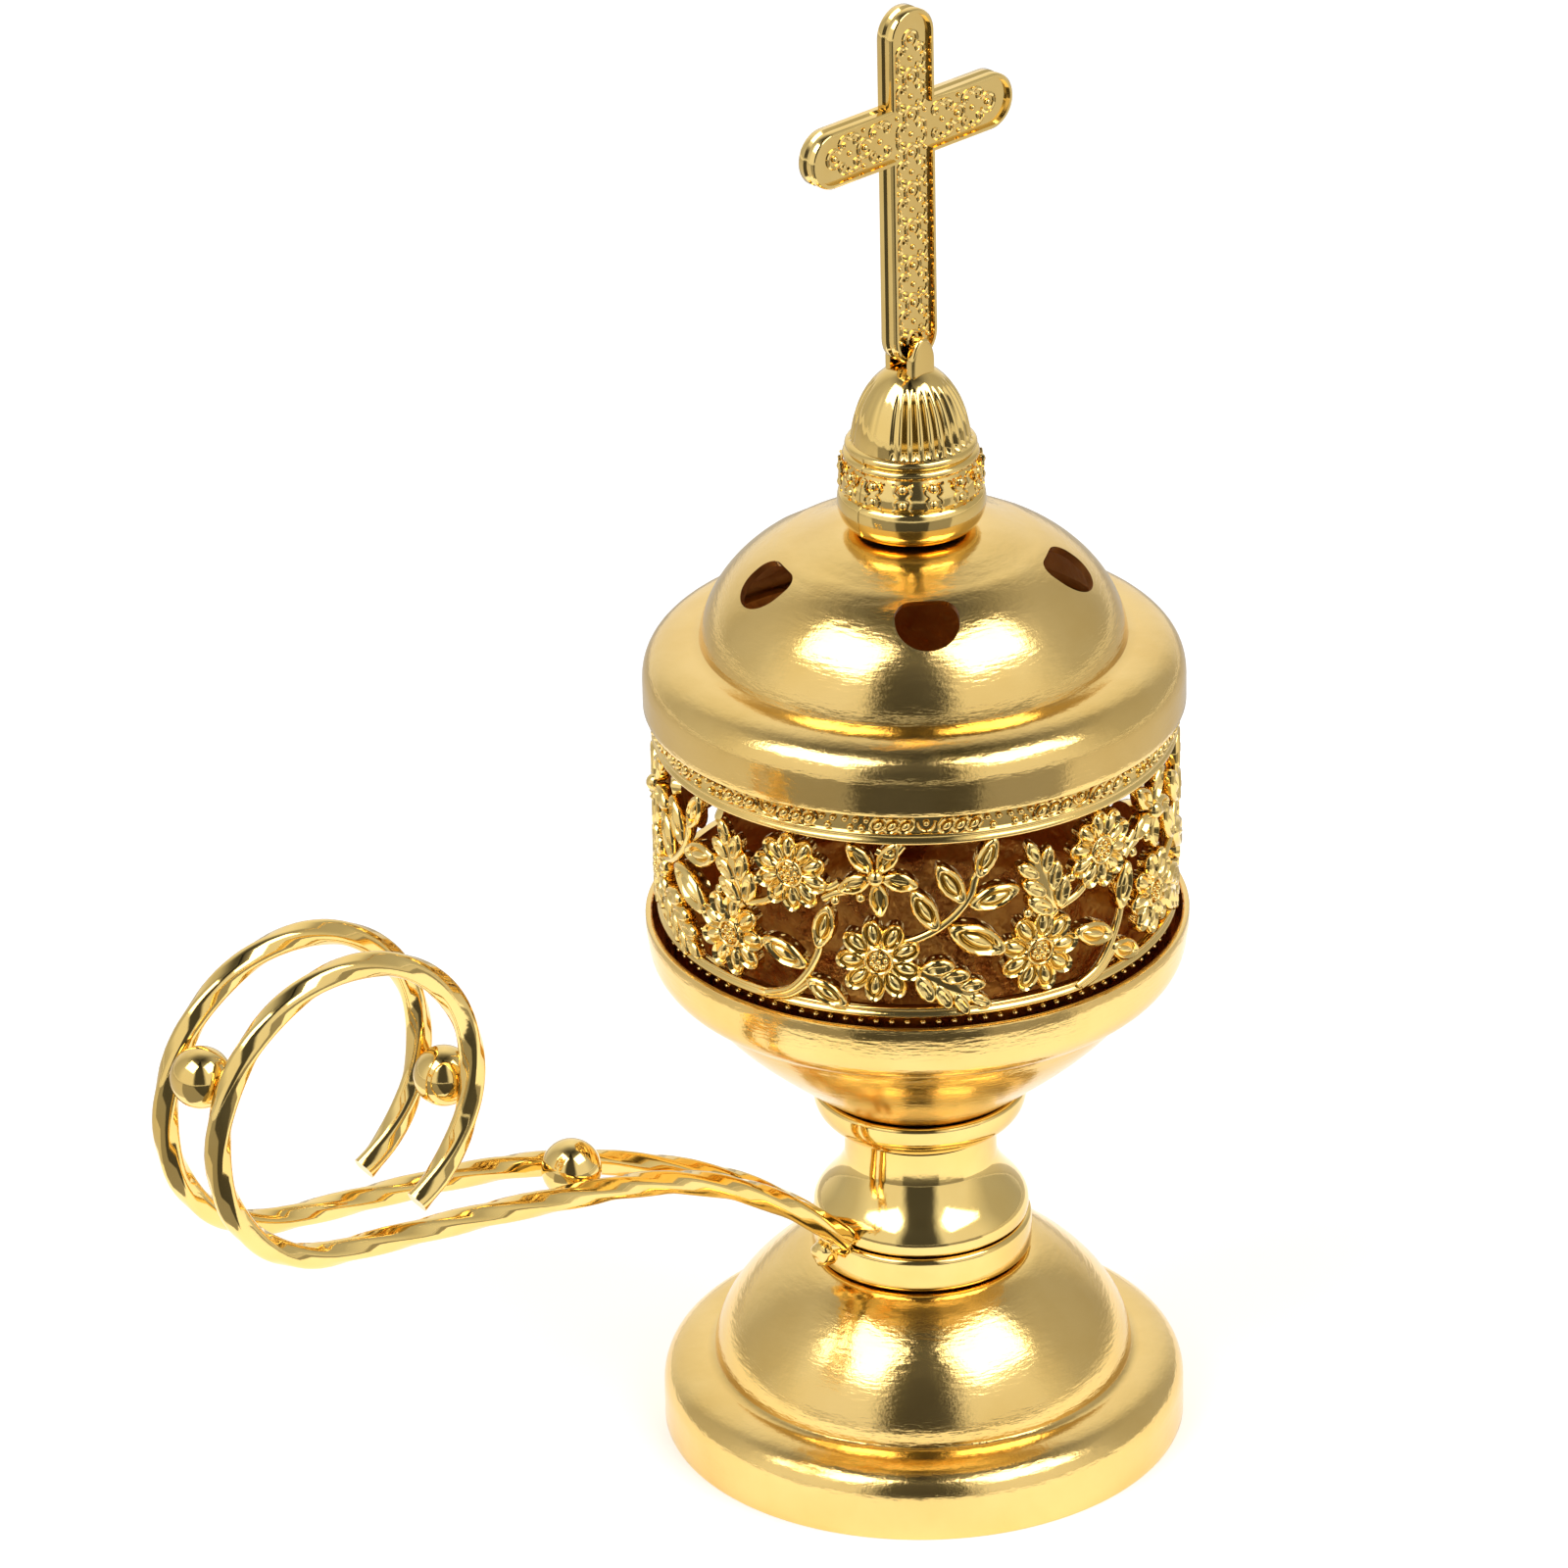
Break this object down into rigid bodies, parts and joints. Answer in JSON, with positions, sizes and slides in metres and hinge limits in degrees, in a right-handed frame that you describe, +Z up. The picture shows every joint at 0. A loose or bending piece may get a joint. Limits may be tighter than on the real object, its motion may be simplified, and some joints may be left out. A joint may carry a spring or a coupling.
{
  "type": "hand censer",
  "caption": "Gilt brass hand censer: footed bowl for burning incense, lift-off lid on a pierced floral band, cross finial, and a side handle of twisted wire ending in a loop.",
  "frame": {"origin": "middle of the whole object's box, at the level that the foot stands on", "axes": "+Z up along the vessel's axis, -X along the handle, +Y across the handle"},
  "size_m": [0.16, 0.0746, 0.2107],
  "materials": {
    "gilt_satin": "gold-plated brass sheet, satin with a fine orange-peel skin",
    "gilt_bright": "gold-plated cast or turned brass, polished bright",
    "raw_brass": "plain turned brass, unplated"
  },
  "bodies": {
    "vessel": {"foot": "gilt_satin", "foot_washer": "raw_brass", "foot_nut": "raw_brass", "stem_ring": "gilt_bright", "stem_knop": "gilt_bright", "stem_collar": "gilt_bright", "tie_rod": "raw_brass", "bowl": "gilt_satin", "bowl_washer": "raw_brass", "bowl_nut": "raw_brass", "handle_wire_front": "gilt_bright", "handle_wire_rear": "gilt_bright", "handle_ball_outer": "gilt_bright", "handle_ball_inner": "gilt_bright", "handle_ball_run": "gilt_bright", "handle_braze": "gilt_bright"},
    "lid": {"filigree_band": "gilt_bright", "lid_dome": "gilt_satin", "lid_washer": "raw_brass", "finial_screw": "raw_brass", "finial": "gilt_bright", "cross": "gilt_bright"}
  },
  "joints": [
    {"name": "lid_lift", "type": "slide", "parent": "vessel", "child": "lid", "axis": [0, 0, 1], "range_m": [0, 0.08]}
  ]
}
